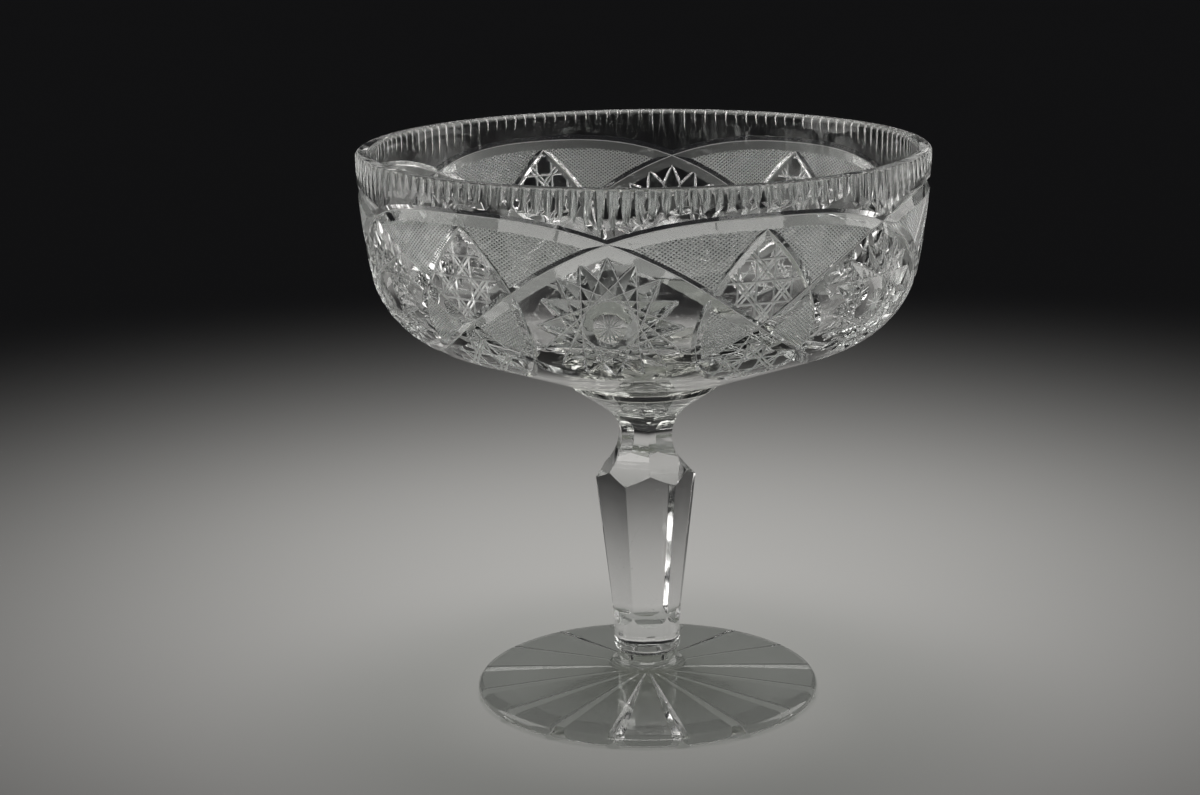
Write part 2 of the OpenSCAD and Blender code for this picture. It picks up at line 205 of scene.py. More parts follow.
class StageSettings(bpy.types.PropertyGroup):
    """The camera, the lamps and the floor"""

    lens: number("Lens", "Focal length on a sensor 36 mm wide", 76.26, unit="CAMERA")
    camera_back: length("Camera back", "Distance of the camera in front of the axis", 924.9)
    camera_up: length("Camera up", "Height of the camera above the floor", 339.8)
    yaw: angle("Yaw", "Turn of the camera to the right", -1.0456)
    pitch: angle("Pitch", "Tilt of the camera downwards", 13.658)
    roll: angle("Roll", "Roll of the camera", -0.758)
    floor: colour("Floor", "Colour of the floor", 0.46, 0.46, 0.455)
    surround: colour("Surround", "Colour of the dim room", 0.012, 0.012, 0.013)
    lamp: colour("Lamp", "Colour of the lamps", 1.0, 0.985, 0.96)


class CrystalSettings(bpy.types.PropertyGroup):
    """All the settings of the bowl and its stage"""

    bowl: PointerProperty(type=BowlSizes)
    cuts: PointerProperty(type=CutSizes)
    stem: PointerProperty(type=StemSizes)
    foot: PointerProperty(type=FootSizes)
    glass: PointerProperty(type=GlassFinish)
    stage: PointerProperty(type=StageSettings)


# Materials

# Specks of wear and of milk: how many to a metre, and the noise levels between which they set in
SPECKS, SPECKS_FROM, SPECKS_TO = 900.0, 0.45, 0.78
MILKY, MILKY_FROM, MILKY_TO = 420.0, 0.5, 0.8
WAVE_HEIGHT = 1 * MM
SHADOW_TINT = (0.93, 0.935, 0.93, 1)
BOND_TINT = (0.985, 0.985, 0.975, 1)
MILK = (0.85, 0.86, 0.84, 1)


class Nodes:
    """Short way to wire a material's nodes"""

    def __init__(self, name):
        self.material = bpy.data.materials.new(name)
        self.material.use_nodes = True
        self.tree = self.material.node_tree
        self.tree.nodes.clear()

    def add(self, kind, values=None, links=None, **settings):
        node = self.tree.nodes.new(kind)
        for key, value in settings.items():
            setattr(node, key, value)
        for key, value in (values or {}).items():
            node.inputs[key].default_value = value
        for key, source in (links or {}).items():
            self.tree.links.new(source, node.inputs[key])
        return node

    def noise(self, **values):
        """Levels of noise in the object's own space"""
        place = self.add("ShaderNodeTexCoord").outputs["Object"]
        return self.add("ShaderNodeTexNoise", values, {"Vector": place}).outputs["Fac"]

    def ramp(self, source, *stops):
        node = self.add("ShaderNodeValToRGB", links={"Fac": source})
        for element, (place, value) in zip(node.color_ramp.elements, stops):
            element.position = place
            element.color = (value, value, value, 1)
        return node.outputs["Color"]

    def mix(self, share, first, second):
        """One shader, and another by a share"""
        node = self.add("ShaderNodeMixShader", links={"Fac": share})
        self.tree.links.new(first.outputs["BSDF"], node.inputs[1])
        self.tree.links.new(second.outputs["BSDF"], node.inputs[2])
        return node.outputs["Shader"]


def crystal(name, finish, roughness, waves, wave, wear, bloom=0.0):
    """Clear crystal: faint waves and fine wear on the surface, and a faint tint in its depth"""
    n = Nodes(name)
    specks = n.noise(Scale=SPECKS, Detail=4.0, Roughness=0.7)
    rough = n.ramp(specks, (SPECKS_FROM, roughness), (SPECKS_TO, roughness + wear))
    swell = n.noise(Scale=waves, Detail=2.0)
    bump = n.add("ShaderNodeBump", {"Strength": wave, "Distance": WAVE_HEIGHT}, {"Height": swell})
    glass = n.add(
        "ShaderNodeBsdfPrincipled",
        {"Base Color": (*finish.tint, 1), "IOR": finish.ior, "Transmission Weight": 1.0 - bloom},
        {"Roughness": rough, "Normal": bump.outputs["Normal"]},
    )
    shadow = n.add("ShaderNodeLightPath").outputs["Is Shadow Ray"]
    through = n.add("ShaderNodeBsdfTransparent", {"Color": SHADOW_TINT})
    surface = n.mix(shadow, glass, through)
    tint = {"Color": (*finish.depth_tint, 1), "Density": finish.depth_density}
    depth = n.add("ShaderNodeVolumeAbsorption", tint).outputs["Volume"]
    n.add("ShaderNodeOutputMaterial", links={"Surface": surface, "Volume": depth})


def bonded_face(name, finish):
    """Ground glass wetted by the bond: it lets light straight through, with a few milky specks"""
    n = Nodes(name)
    specks = n.noise(Scale=MILKY, Detail=5.0)
    haze = n.ramp(specks, (MILKY_FROM, 0.0), (MILKY_TO, finish.bond_haze))
    clear = n.add("ShaderNodeBsdfTransparent", {"Color": BOND_TINT})
    milk = n.add("ShaderNodeBsdfPrincipled", {"Base Color": MILK, "Roughness": 0.4})
    n.add("ShaderNodeOutputMaterial", links={"Surface": n.mix(haze, clear, milk)})


def glass_set(context):
    """The materials that all the pieces share, made once"""
    finish, made = context.scene.crystal.glass, bpy.data.materials
    if "polished_body" not in made:
        # The wheel leaves shorter and lower waves than the mould
        plain = {"waves": 60.0, "wave": finish.waviness}
        wheel = {"waves": 140.0, "wave": finish.waviness * 0.6, "wear": 0.05}
        crystal("polished_body", finish, finish.body_roughness, **plain, wear=0.03)
        crystal("polished_cut", finish, finish.cut_roughness, **wheel)
        crystal("fine_line", finish, finish.line_roughness, **wheel, bloom=finish.line_bloom)
        crystal("root_line", finish, finish.line_roughness, **wheel, bloom=finish.root_bloom)
        crystal("worn_base", finish, finish.body_roughness, **plain, wear=0.22)
        bonded_face("bonded_face", finish)
    return made


# Meshes


def arc(centre, radius, start, stop, steps):
    """Points of an arc in the plane of the axis, by angle from outwards, upwards positive"""
    turns = np.linspace(start, stop, steps + 1)
    out, up = centre
    return np.stack([out + radius * np.cos(turns), up + radius * np.sin(turns)], axis=1)


def mesh_object(name, points, faces, materials, slots=None):
    """An object from points and faces; slots say which material each face has"""
    mesh = bpy.data.meshes.new(name)
    mesh.from_pydata([tuple(p) for p in points], [], faces)
    for material in materials:
        mesh.materials.append(material)
    if slots is not None:
        mesh.polygons.foreach_set("material_index", slots)
    mesh.update()
    made = bpy.data.objects.new(name, mesh)
    bpy.context.scene.collection.objects.link(made)
    return made


def lathe(name, outline, sides, materials, slots):
    """Turns an outline that runs from axis to axis; each of its stretches has a slot"""
    rings = outline[1:-1]
    turns = np.linspace(0, 2 * math.pi, sides, endpoint=False)
    points = [(r * math.sin(t), -r * math.cos(t), z) for r, z in rings for t in turns]
    first, last = len(points), len(points) + 1
    points += [(0, 0, outline[0][1]), (0, 0, outline[-1][1])]
    faces, picks = [], []
    for j in range(sides):
        k = (j + 1) % sides
        faces.append((first, k, j))
        picks.append(slots[0])
        for i in range(len(rings) - 1):
            low, high = i * sides, (i + 1) * sides
            faces.append((low + j, low + k, high + k, high + j))
            picks.append(slots[i + 1])
        top = (len(rings) - 1) * sides
        faces.append((top + j, top + k, last))
        picks.append(slots[-1])
    return mesh_object(name, points, faces, materials, picks)


def between(n):
    """The faces of a shape that joins two outlines of n points and closes both"""
    faces = [tuple(range(n)), tuple(range(2 * n - 1, n - 1, -1))]
    return faces + [(i, i + n, (i + 1) % n + n, (i + 1) % n) for i in range(n)]


def prism(outline, half_width):
    """A tool with one outline, in the plane of the axis, carried to both sides of it"""
    points = [(r, side * half_width, z) for side in (-1, 1) for r, z in outline]
    return points, between(len(outline))


def turned(shape, turn):
    """A shape turned about the axis, from the +X side"""
    points, *rest = shape
    c, s = math.cos(turn), math.sin(turn)
    return [(x * c - y * s, x * s + y * c, z) for x, y, z in points], *rest


def tool(shapes, materials):
    """One tool from shapes that lie clear of each other; a shape may pick each face's material"""
    points, faces, picks = [], [], []
    for shape_points, shape_faces, *shape_picks in shapes:
        base = len(points)
        points.extend(shape_points)
        faces.extend(tuple(base + i for i in face) for face in shape_faces)
        picks.extend(shape_picks[0] if shape_picks else [0] * len(shape_faces))
    made = mesh_object("tool", points, faces, materials, picks)
    outwards = bmesh.new()
    outwards.from_mesh(made.data)
    bmesh.ops.recalc_face_normals(outwards, faces=outwards.faces)
    outwards.to_mesh(made.data)
    outwards.free()
    return made


def cut(piece, tools):
    """Cuts the tools out of a piece; the new faces keep the tools' material"""
    bench = bpy.data.collections.new("bench")
    scene = bpy.context.scene
    scene.collection.children.link(bench)
    for each in tools:
        scene.collection.objects.unlink(each)
        bench.objects.link(each)
    wheel = piece.modifiers.new("wheel", "BOOLEAN")
    wheel.operation = "DIFFERENCE"
    wheel.solver = "MANIFOLD"
    wheel.operand_type = "COLLECTION"
    wheel.collection = bench
    wheel.material_mode = "TRANSFER"
    before = piece.data
    graph = bpy.context.evaluated_depsgraph_get()
    piece_after = bpy.data.meshes.new_from_object(piece.evaluated_get(graph))
    piece.modifiers.clear()
    piece.data = piece_after
    piece_after.name = before.name
    bpy.data.meshes.remove(before)
    for each in tools:
        bpy.data.meshes.remove(each.data)
    bpy.data.collections.remove(bench)


def polish(piece, sharp):
    """Smooth surfaces that stay crisp at their edges"""
    mesh = piece.data
    mesh.shade_smooth()
    mesh.set_sharp_from_angle(angle=sharp)
    mesh.update()


# The groups of objects that the lamps light
FRONT, LOW_FRONT = "lit_in_front", "lit_low_in_front"
SIDES, ABOVE = "lit_from_the_sides", "lit_from_above"


def lit_group(name):
    """The collection of the objects that one set of lamps lights"""
    return bpy.data.collections.get(name) or bpy.data.collections.new(name)


def hand_over(piece, node, front=FRONT):
    """Puts a finished piece in the place of its node, in the light of its lamps"""
    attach(piece, "root")
    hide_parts(node)
    for group in (SIDES, front):
        lit_group(group).objects.link(piece)


# The bowl

# An arch's reach in repeats, the course of its fall, and the fullness of a leaf
ARCH_REACH, ARCH_BEND, ARCH_POWER = 1.5, math.radians(174), 1.35
LEAF_POWER = 1.8
# How far fine lines keep off a leaf's root, in widths of its groove, and an arch's, in flanks
OFF_LEAF, OFF_ARCH_BELOW, OFF_ARCH_ABOVE = 0.42, 0.9, 0.8
# Half the longest run of a cane line, the step along it, and in steps its least length and the
# distance between its stations
LINE_REACH, LINE_STEP = 75 * MM, 0.2 * MM
LINE_LEAST, WALL_STRIDE, TURN_STRIDE = 4, 30, 24
# Half the run of the hatch, and half the number of the cane's lines
HATCH_REACH = 110 * MM
CANE_LINES, CANE_PAIRS = 8, 6
# How far tools stand off the glass, and how much of its size a groove keeps at its ends
STAND_OFF, HATCH_STAND_OFF, CANE_STAND_OFF = 0.4 * MM, 0.2 * MM, 0.15 * MM
RUN_OUT, STAR_RUN_OUT = 0.3, 0.25
# Stations along the grooves
ARCH_STATIONS, LEAF_STATIONS, STAR_STATIONS, HOB_STATIONS = 61, 29, 11, 3
# A flute's width in parts of the pitch, and how far its tool runs past its ends
FLUTE_SHARE, FLUTE_PAST, FLUTE_SIDES = 0.97, 3 * MM, 24
# The least angle that stays crisp under the polish
CRISP_CUT = math.radians(16)


class Skin:
    """The outside of the bowl: a place is a turn from the front and a drop down from the rim"""

    def __init__(self, sizes):
        self.rim_r, self.rim_z = BOWL_HIGH.x, BOWL_HIGH.z
        self.seat = np.array([STEM_HIGH.x, BOWL_LOW.z])
        self.lean_0 = sizes.rim_lean
        self.wall_r = sizes.wall_r
        self.turn_r = sizes.turn_r
        slope = sizes.floor_slope
        rim = np.array([self.rim_r, self.rim_z])
        self.wall_c = rim - self.wall_r * self.outwards(self.lean_0)
        reach = (self.seat - self.wall_c) @ np.array([math.sin(slope), -math.cos(slope)])
        self.turn_from = math.asin((reach - self.turn_r) / (self.wall_r - self.turn_r)) - slope
        self.turn_to = math.pi / 2 - slope
        self.turn_c = self.wall_c + (self.wall_r - self.turn_r) * self.outwards(self.turn_from)
        self.wall_end = self.wall_r * (self.turn_from - self.lean_0)
        self.turn_end = self.wall_end + self.turn_r * (self.turn_to - self.turn_from)
        self.floor_start = self.turn_c + self.turn_r * self.outwards(self.turn_to)

    @staticmethod
    def outwards(lean):
        return np.stack([np.cos(lean), -np.sin(lean)], axis=-1)

    def lean(self, drop):
        wall = self.lean_0 + drop / self.wall_r
        turn = self.turn_from + (drop - self.wall_end) / self.turn_r
        return np.where(drop < self.wall_end, wall, np.minimum(turn, self.turn_to))

    def section(self, drop, lift=0.0):
        """Radius and height of a place, lifted off the glass or sunk into it"""
        drop = np.asarray(drop, float)
        lean = self.lean(drop)
        out = self.outwards(lean)
        down = np.stack([-np.sin(lean), -np.cos(lean)], axis=-1)
        on_wall = self.wall_c + self.wall_r * out
        on_turn = self.turn_c + self.turn_r * out
        on_floor = self.floor_start + (drop - self.turn_end)[..., None] * down
        at = np.where((drop < self.wall_end)[..., None], on_wall, on_turn)
        at = np.where((drop > self.turn_end)[..., None], on_floor, at)
        return at + np.asarray(lift)[..., None] * out

    def place(self, turn, drop, lift=0.0):
        r, z = np.moveaxis(self.section(drop, lift), -1, 0)
        return np.stack([r * np.sin(turn), -r * np.cos(turn), z], axis=-1)


def bowl_outline(sizes, skin):
    """Outline of the bowl from the middle of its seat, up the outside and down the inside"""
    slope, lip, quarter = sizes.floor_slope, sizes.lip_r, math.pi / 2
    seat_drop = skin.turn_end + (skin.floor_start[0] - skin.seat[0]) / math.cos(slope)
    turn_share = math.cos(skin.turn_to - skin.turn_from)
    thicker = (sizes.floor_wall - sizes.rim_wall * turn_share) / (1 - turn_share)
    inner_turn_r = skin.turn_r - thicker
    inner_wall_r = skin.wall_r - sizes.rim_wall
    inner_turn_c = skin.wall_c + (inner_wall_r - inner_turn_r) * skin.outwards(skin.turn_from)
    inner_end = inner_turn_c + inner_turn_r * skin.outwards(skin.turn_to)
    dish_edge = inner_end[1] - (inner_end[0] - sizes.dish_d / 2) * math.tan(slope)
    dish_r = sizes.dish_d / 2 / math.sin(slope)
    dish_c = (0, dish_edge + dish_r * math.cos(slope))
    top = skin.rim_z - lip
    outer_lip, inner_lip = lip / skin.wall_r, lip / inner_wall_r
    stretches = [
        [(0, skin.seat[1])],
        skin.section(np.linspace(seat_drop, skin.turn_end, num=6)),
        arc(skin.turn_c, skin.turn_r, -skin.turn_to, -skin.turn_from, steps=14)[1:],
        arc(skin.wall_c, skin.wall_r, -skin.turn_from, -skin.lean_0 - outer_lip, steps=12)[1:],
        arc((skin.rim_r - lip, top), lip, 0, quarter, steps=5)[1:],
        arc((skin.rim_r - sizes.rim_wall + lip, top), lip, quarter, 2 * quarter, steps=5),
        arc(skin.wall_c, inner_wall_r, -skin.lean_0 - inner_lip, -skin.turn_from, steps=10)[1:],
        arc(inner_turn_c, inner_turn_r, -skin.turn_from, -skin.turn_to, steps=14)[1:],
        np.linspace(inner_end, (sizes.dish_d / 2, dish_edge), num=4)[1:],
        arc(dish_c, dish_r, slope - quarter, -quarter, steps=8)[1:],
    ]
    return np.concatenate(stretches)


class Pattern:
    """Where the cuts run on the outside of the bowl; turns are measured from a leaf's axis"""

    def __init__(self, cuts, skin):
        self.cuts = cuts
        self.skin = skin
        self.repeat = 2 * math.pi / cuts.repeats
        self.leaf_axes = [cuts.turn + (k + 0.5) * self.repeat for k in range(cuts.repeats)]
        self.star_axes = [cuts.turn + k * self.repeat for k in range(cuts.repeats)]
        self.arch_reach = ARCH_REACH * self.repeat
        self.leaf_end = cuts.leaf_drop + cuts.leaf_len

    def arch(self, turn):
        """Drop of an arch at a turn from its crown; it falls steeply between two gentle ends"""
        bend = ARCH_BEND * (np.abs(turn) / self.arch_reach) ** ARCH_POWER
        return self.cuts.arch_drop + self.cuts.arch_fall / 2 * (1 - np.cos(bend))

    def leaf(self, drop):
        """Half the width of a leaf"""
        along = (drop - self.cuts.leaf_drop) / self.cuts.leaf_len
        return self.cuts.leaf_w / 2 * (1 - np.abs(2 * along - 1) ** LEAF_POWER)

    def beside(self, x, drop):
        """Turn of a place from its distance to the side of an axis, measured on the glass"""
        return x / self.skin.section(drop)[..., 0]

    def in_leaf(self, x, drop):
        return np.abs(x) < self.leaf(drop) - self.cuts.leaf_groove * OFF_LEAF

    def past_leaf(self, x, drop):
        return np.abs(x) > self.leaf(drop) + self.cuts.leaf_groove * OFF_LEAF

    def under_arch(self, turn, drop):
        return drop > self.arch(turn) + self.cuts.arch_lower * OFF_ARCH_BELOW

    def over_arch(self, turn, drop):
        return drop < self.arch(turn) - self.cuts.arch_upper * OFF_ARCH_ABOVE

    def on_leaf_height(self, drop):
        """Between the rim and the lower points of the leaves"""
        return (drop > 0) & (drop < self.leaf_end)

    def in_hatch(self, x, drop):
        """The two curved triangles beside a diamond, and the two small ones under it"""
        turn = np.abs(self.beside(x, drop))
        near, far = self.repeat - turn, self.repeat + turn
        beside = self.past_leaf(x, drop) & self.under_arch(turn, drop) & self.over_arch(near, drop)
        under = self.in_leaf(x, drop) & self.under_arch(near, drop) & self.over_arch(far, drop)
        return beside | under

    def in_cane(self, x, drop):
        """The diamond inside a leaf, over the crossing of two arches, and the kite under it"""
        turn = np.abs(self.beside(x, drop))
        diamond = self.over_arch(self.repeat - turn, drop)
        kite = self.under_arch(self.repeat + turn, drop)
        return self.in_leaf(x, drop) & (diamond | kite)

    def cane_lines(self, heading, offsets):
        """The cane's parallel lines at a heading, as turns and drops"""
        along = np.arange(-LINE_REACH, LINE_REACH, LINE_STEP)
        for offset in offsets:
            x = along * math.cos(heading) - offset * math.sin(heading)
            drop = self.cuts.cane_drop + along * math.sin(heading) + offset * math.cos(heading)
            held = self.in_cane(x, drop) & self.on_leaf_height(drop)
            edges = np.flatnonzero(np.diff(np.concatenate([[0], held.astype(int), [0]])))
            for start, stop in zip(edges[::2], edges[1::2]):
                if stop - start < LINE_LEAST:
                    continue
                on_wall = drop[start:stop].max() < self.skin.wall_end
                stride = WALL_STRIDE if on_wall else TURN_STRIDE
                stations = max(2, (stop - start) // stride + 1)
                picks = np.linspace(start, stop - 1, stations).round().astype(int)
                yield self.beside(x[picks], drop[picks]), drop[picks]


def groove(skin, turn, drop, flanks, depth, clear=STAND_OFF, run_out=1.0, root=0.0):
    """A tool that follows a path on the bowl, with flanks beside a sharp or narrow root"""
    turn, drop = np.asarray(turn, float), np.asarray(drop, float)
    size = np.ones(len(turn))
    size[[0, -1]] = run_out
    on = skin.place(turn, drop)
    normal = skin.place(turn, drop, np.ones(len(turn))) - on
    along = np.gradient(on, axis=0)
    side = np.cross(along, normal)
    side /= np.linalg.norm(side, axis=1)[:, None]
    reach = (size + clear / depth)[:, None]
    blunt = root / sum(flanks)
    floor = on - ((size - blunt) * depth)[:, None] * normal
    corners = [
        floor - blunt * flanks[0] * side,
        on + clear * normal - reach * flanks[0] * side,
        on + clear * normal + reach * flanks[1] * side,
    ]
    if root:
        corners.append(floor + blunt * flanks[1] * side)
    rings = np.stack(corners, axis=1)
    n, c = len(turn) - 1, len(corners)
    faces, picks = [tuple(range(c))[::-1], tuple(range(n * c, n * c + c))], [0, 0]
    for i in range(n):
        for k in range(c):
            a, b = c * i + k, c * i + (k + 1) % c
            faces.append((a, b, b + c, a + c))
            picks.append(1 if k == 3 else 0)
    return rings.reshape(-1, 3).tolist(), faces, picks


def flute(cuts, pattern, turn):
    """A round tool that is deepest at the lip and runs out above the arches"""
    skin, depth = pattern.skin, cuts.flute_depth
    from_crown = (turn - cuts.turn) % pattern.repeat - pattern.repeat / 2
    width = FLUTE_SHARE * 2 * math.pi * skin.rim_r / cuts.flutes
    radius = (width ** 2 / 4 + depth ** 2) / 2 / depth
    top = np.array([skin.rim_r - depth, skin.rim_z])
    tip = skin.section(pattern.arch(from_crown) - cuts.flute_gap)
    along = (tip - top) / np.linalg.norm(tip - top)
    out = np.array([-along[1], along[0]])
    points = []
    for r, z in (top + radius * out - FLUTE_PAST * along, tip + radius * out + FLUTE_PAST * along):
        for a in np.linspace(0, 2 * math.pi, FLUTE_SIDES, endpoint=False):
            u, v = radius * math.cos(a), radius * math.sin(a)
            points.append((r + u * out[0], v, z + u * out[1]))
    return turned((points, between(FLUTE_SIDES)), turn - math.pi / 2)


def flute_tools(cuts, pattern):
    """The flutes round the rim; neighbours overlap, so every other one is in the same set"""
    turns = [cuts.turn + (i + 0.5) * 2 * math.pi / cuts.flutes for i in range(cuts.flutes)]
    return [[flute(cuts, pattern, turn) for turn in turns[first::2]] for first in (0, 1)]


def arch_tools(cuts, pattern):
    """The arches, each in a set of its own because they cross"""
    reach = np.linspace(-pattern.arch_reach, pattern.arch_reach, ARCH_STATIONS)
    drops, flanks = pattern.arch(reach), (cuts.arch_upper, cuts.arch_lower)
    ends = {"run_out": RUN_OUT, "root": cuts.root_line}
    return [[groove(pattern.skin, axis + reach, drops, flanks, cuts.arch_depth, **ends)]
            for axis in pattern.leaf_axes]


def leaf_tools(cuts, pattern):
    """The left and the right sides of the leaves"""
    drops = cuts.leaf_drop + cuts.leaf_len * np.linspace(0, 1, LEAF_STATIONS)
    half = (cuts.leaf_groove / 2,) * 2
    ends = {"run_out": RUN_OUT, "root": cuts.root_line}
    sets = []
    for side in (-1, 1):
        turns = pattern.beside(side * pattern.leaf(drops), drops)
        sets.append([groove(pattern.skin, axis + turns, drops, half, cuts.leaf_depth, **ends)
                     for axis in pattern.leaf_axes])
    return sets


def star_lines(cuts, pattern, lines, skip, radius, flanks, depth, stations, root=0.0):
    """Straight lines between points of a circle round each star's middle, each in its own set"""
    sets = []
    for i in range(lines):
        turns = 2 * math.pi * np.array([i, i + skip]) / cuts.star_points
        first, last = radius * np.stack([np.sin(turns), np.cos(turns)], axis=1)
        x, down = (first + np.linspace(0, 1, stations)[:, None] * (last - first)).T
        drop = cuts.star_drop + down
        turn, ends = pattern.beside(x, drop), {"run_out": STAR_RUN_OUT, "root": root}
        sets.append([groove(pattern.skin, axis + turn, drop, flanks, depth, **ends)
                     for axis in pattern.star_axes])
    return sets


def star_tools(cuts, pattern):
    """Lines from point to point of each star, with their broad flanks towards its middle"""
    flanks = (cuts.star_inner, cuts.star_outer)
    return star_lines(cuts, pattern, cuts.star_points, cuts.star_skip, cuts.star_d / 2, flanks,
                      cuts.star_depth, STAR_STATIONS, cuts.root_line)


def hob_tools(cuts, pattern):
    """Rays across the face that the lines leave in the middle of each star"""
    opposite, half = cuts.star_points // 2, (cuts.hob_ray / 2,) * 2
    return star_lines(cuts, pattern, opposite, opposite, cuts.hob_face, half, cuts.hob_depth,
                      HOB_STATIONS)


def hatch_cells(cuts, pattern):
    """Which cells of the hatch's lattice are cut, half their number, and the lattice's steps"""
    step = cuts.hatch_pitch / math.sin(cuts.hatch_rise + cuts.hatch_fall)
    rise = step * np.array([math.cos(cuts.hatch_rise), -math.sin(cuts.hatch_rise)])
    fall = step * np.array([math.cos(cuts.hatch_fall), math.sin(cuts.hatch_fall)])
    half = round(HATCH_REACH / step)
    k, m = np.meshgrid(np.arange(-half, half), np.arange(-half, half), indexing="ij")
    x, drop = np.moveaxis((k + 0.5)[..., None] * rise + (m + 0.5)[..., None] * fall, -1, 0)
    drop = drop + cuts.cane_drop
    held = (x > step) & pattern.on_leaf_height(drop) & pattern.in_hatch(x, drop)
    # Cells that meet only at a corner get a third one beside them, so that the tool stays solid
    while True:
        a, b, c, d = held[:-1, :-1], held[1:, :-1], held[:-1, 1:], held[1:, 1:]
        one, other = a & d & ~b & ~c, b & c & ~a & ~d
        if not (one.any() or other.any()):
            break
        b |= one
        a |= other
    return held, half, rise, fall


def hatch_tools(cuts, pattern):
    """Two crossing sets of fine lines round small lands, as lattices on both sides of each leaf"""
    held, half, rise, fall = hatch_cells(cuts, pattern)
    edge = cuts.hatch_line / 2 / cuts.hatch_pitch
    inset = (edge, 1 - edge)
    around = ((0, 0), (1, 0), (1, 1), (0, 1))
    neighbours = ((0, -1), (1, 0), (0, 1), (-1, 0))
    spots, lifts, corners, faces, picks = [], [], {}, [], []

    def spot(k, m, lift):
        spots.append((k - half, m - half))
        lifts.append(lift)
        return len(spots) - 1

    def corner(k, m):
        if (k, m) not in corners:
            corners[k, m] = spot(k, m, -cuts.hatch_depth), spot(k, m, HATCH_STAND_OFF)
        return corners[k, m]

    for k, m in np.argwhere(held).tolist():
        low, high = zip(*(corner(k + i, m + j) for i, j in around))
        land = [spot(k + inset[i], m + inset[j], -cuts.hatch_land) for i, j in around]
        faces += [tuple(land), tuple(reversed(high))]
        picks += [0, 0]
        for n, (i, j) in enumerate(neighbours):
            after = (n + 1) % 4
            faces.append((low[n], low[after], land[after], land[n]))
            picks.append(1)
            if not held[k + i, m + j]:
                faces.append((low[n], high[n], high[after], low[after]))
                picks.append(1)
    x, drop = (np.array(spots) @ np.array([rise, fall])).T
    drop = drop + cuts.cane_drop
    turn = pattern.beside(x, drop)
    return [[(pattern.skin.place(axis + side * turn, drop, np.array(lifts)).tolist(), faces, picks)
             for axis in pattern.leaf_axes] for side in (-1, 1)]


def cane_tools(cuts, pattern):
    """Buttons left standing between single lines across and down and pairs of slanting lines"""
    across, down, pair = cuts.cane_across, cuts.cane_down, cuts.cane_pair / 2
    slant = math.atan2(down, across)
    apart = 2 * across * math.sin(slant)
    half = (cuts.cane_line / 2,) * 2
    singles, pairs = range(-CANE_LINES, CANE_LINES), range(-CANE_PAIRS, CANE_PAIRS)
    families = [
        (0.0, [(k + 0.5) * down for k in singles]),
        (math.pi / 2, [(k + 0.5) * across for k in singles]),
    ]
    for heading in (slant, -slant):
        for side in (-pair, pair):
            families.append((heading, [(k + 0.5) * apart + side for k in pairs]))
    sets = []
    for heading, offsets in families:
        paths = list(pattern.cane_lines(heading, offsets))
        sets.append([groove(pattern.skin, axis + turn, drop, half, cuts.cane_depth, CANE_STAND_OFF)
                     for axis in pattern.leaf_axes for turn, drop in paths])
    return sets


def bowl_tools(cuts, skin, glass):
    """Every wheel cut on the bowl, in sets whose cuts lie clear of each other"""
    pattern = Pattern(cuts, skin)
    clear, fine, root = glass["polished_cut"], glass["fine_line"], glass["root_line"]
    wheels = (
        (flute_tools, [clear]),
        (arch_tools, [clear, root]),
        (leaf_tools, [clear, root]),
        (star_tools, [clear, root]),
        (hatch_tools, [clear, fine]),
        (hob_tools, [fine]),
        (cane_tools, [fine]),
    )
    return [tool(shapes, glasses) for make, glasses in wheels for shapes in make(cuts, pattern)]


class OBJECT_OT_crystal_bowl(bpy.types.Operator):
    """Make the cut-crystal bowl"""

    bl_idname = "object.crystal_bowl"
    bl_label = "Cut Bowl"

    def execute(self, context):
        settings = context.scene.crystal
        sizes, glass = settings.bowl, glass_set(context)
        skin = Skin(sizes)
        outline = bowl_outline(sizes, skin)
        slots = [1] + [0] * (len(outline) - 2)
        piece = lathe("cut_bowl", outline, sizes.sides,
                      [glass["polished_body"], glass["bonded_face"]], slots)
        cut(piece, bowl_tools(settings.cuts, skin, glass))
        polish(piece, CRISP_CUT)
        hand_over(piece, "bowl")
        return {"FINISHED"}


# The stem

SIXTH = math.pi / 3
# Distance of a flat from the axis, in parts of that of its corners
FLAT_SHARE = math.cos(SIXTH / 2)
CRISP_STEM = math.radians(14)
# How far out the bubbles lie, the least in parts of the largest, and the steps between them
SEED_REACH, SEED_LEAST = 8.5 * MM, 0.35
LEVEL_STEP, OUT_STEP, OUT_START, SIZE_STEP = 0.618, 0.382, 0.17, 0.754
GOLDEN_ANGLE = math.pi * (3 - math.sqrt(5))


def stem_outline(sizes):
    """Outline of the turned stem from the middle of its lower face to the middle of its flange"""
    low, top, seat_r = STEM_LOW.z, STEM_HIGH.z, STEM_HIGH.x
    neck_z = top - sizes.neck_drop
    hollow_c = np.array([sizes.neck_w / 2 / FLAT_SHARE + sizes.edge_ease + sizes.hollow_r, neck_z])
    corner = np.array([seat_r, top - sizes.flange_edge])
    reach = corner - hollow_c
    stop = math.atan2(reach[1], reach[0]) + math.acos(sizes.hollow_r / np.linalg.norm(reach))
    collar_r, ring_r = sizes.collar_d / 2, sizes.ring_d / 2
    shoulder_r = sizes.shoulder_w / 2 - sizes.edge_ease
    collar_c = (collar_r - sizes.collar_round, low + sizes.ring_h + sizes.collar_round)
    ease = 0.3 * MM
    stretches = [
        [(0, low), (ring_r, low), (ring_r, low + sizes.ring_h)],
        arc(collar_c, sizes.collar_round, -math.pi / 2, 0, steps=8),
        [(collar_r, low + sizes.collar_top), (shoulder_r, top - sizes.shoulder_drop)],
        arc(hollow_c, sizes.hollow_r, math.pi, stop, steps=28),
        [corner, (seat_r, corner[1] + ease), (seat_r, top), (0, top)],
    ]
    return np.concatenate(stretches)


